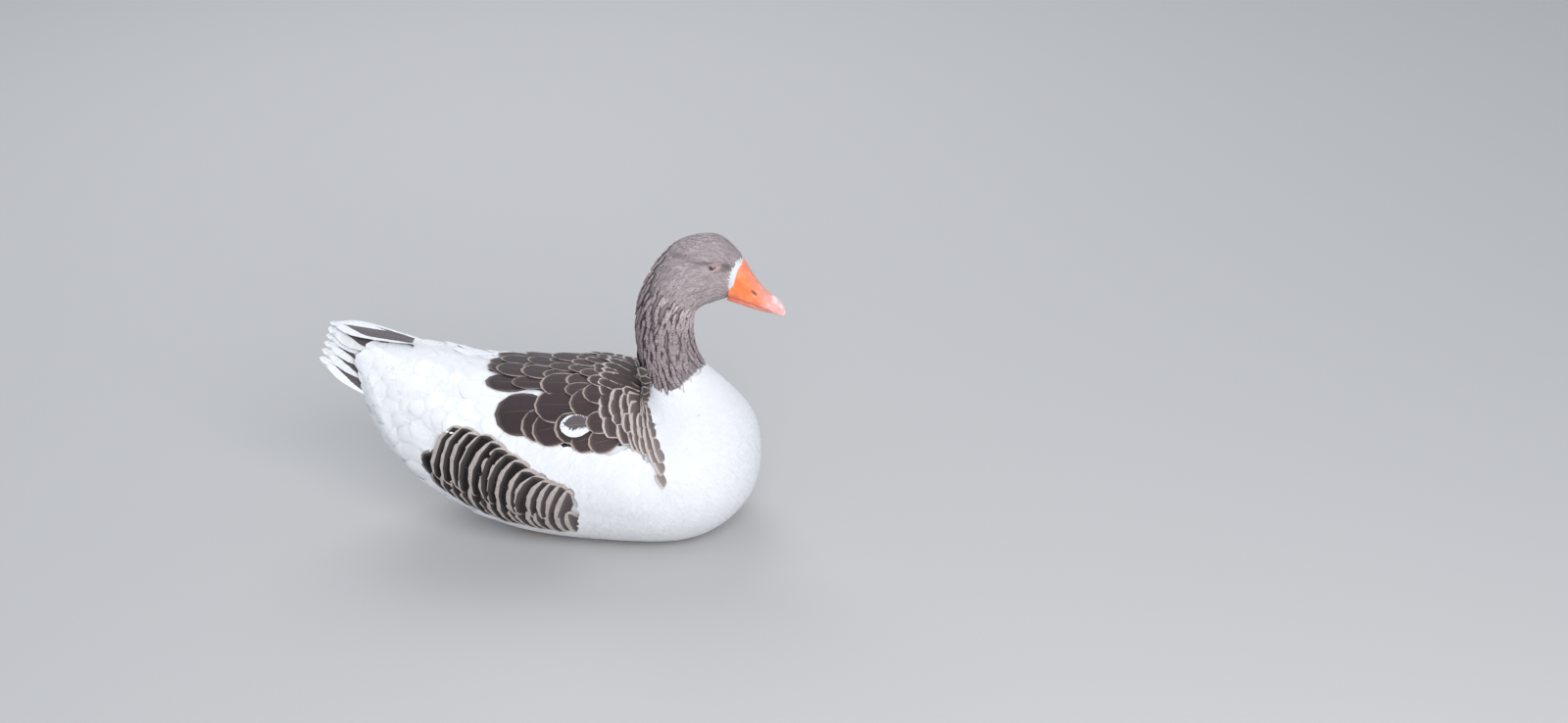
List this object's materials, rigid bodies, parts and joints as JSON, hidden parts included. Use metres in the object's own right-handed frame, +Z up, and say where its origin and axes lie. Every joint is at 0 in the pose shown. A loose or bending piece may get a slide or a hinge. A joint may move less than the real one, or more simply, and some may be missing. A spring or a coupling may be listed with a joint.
{
  "type": "domestic goose",
  "caption": "Life-size still model of a domestic goose of the saddleback kind, sitting on its belly with its head up and its feet tucked under.",
  "frame": {"origin": "centre of the flat on which the belly rests, on the floor, in the bird's plane of symmetry", "axes": "+X from the tail to the breast, +Y to the bird's left, +Z up"},
  "size_m": [0.6047, 0.2814, 0.4091],
  "materials": {
    "white_feather": "matt white contour feathers; the saddle and flank feathers are dark brown with pale edges",
    "grey_feather": "matt grey-brown head and neck feathers, furrowed on the neck",
    "bill_horn": "satin orange bill with a pale pink nail",
    "eye": "wet gloss",
    "leg_skin": "finely scaled orange skin"
  },
  "bodies": {
    "root": {"trunk": "white_feather", "neck": "grey_feather", "head": "grey_feather", "tail": "white_feather", "bill_upper": "bill_horn", "bill_lower": "bill_horn", "wing_left": "white_feather", "eye_left": "eye", "leg_left": "leg_skin", "foot_left": "leg_skin", "wing_right": "white_feather", "eye_right": "eye", "leg_right": "leg_skin", "foot_right": "leg_skin"}
  },
  "joints": []
}
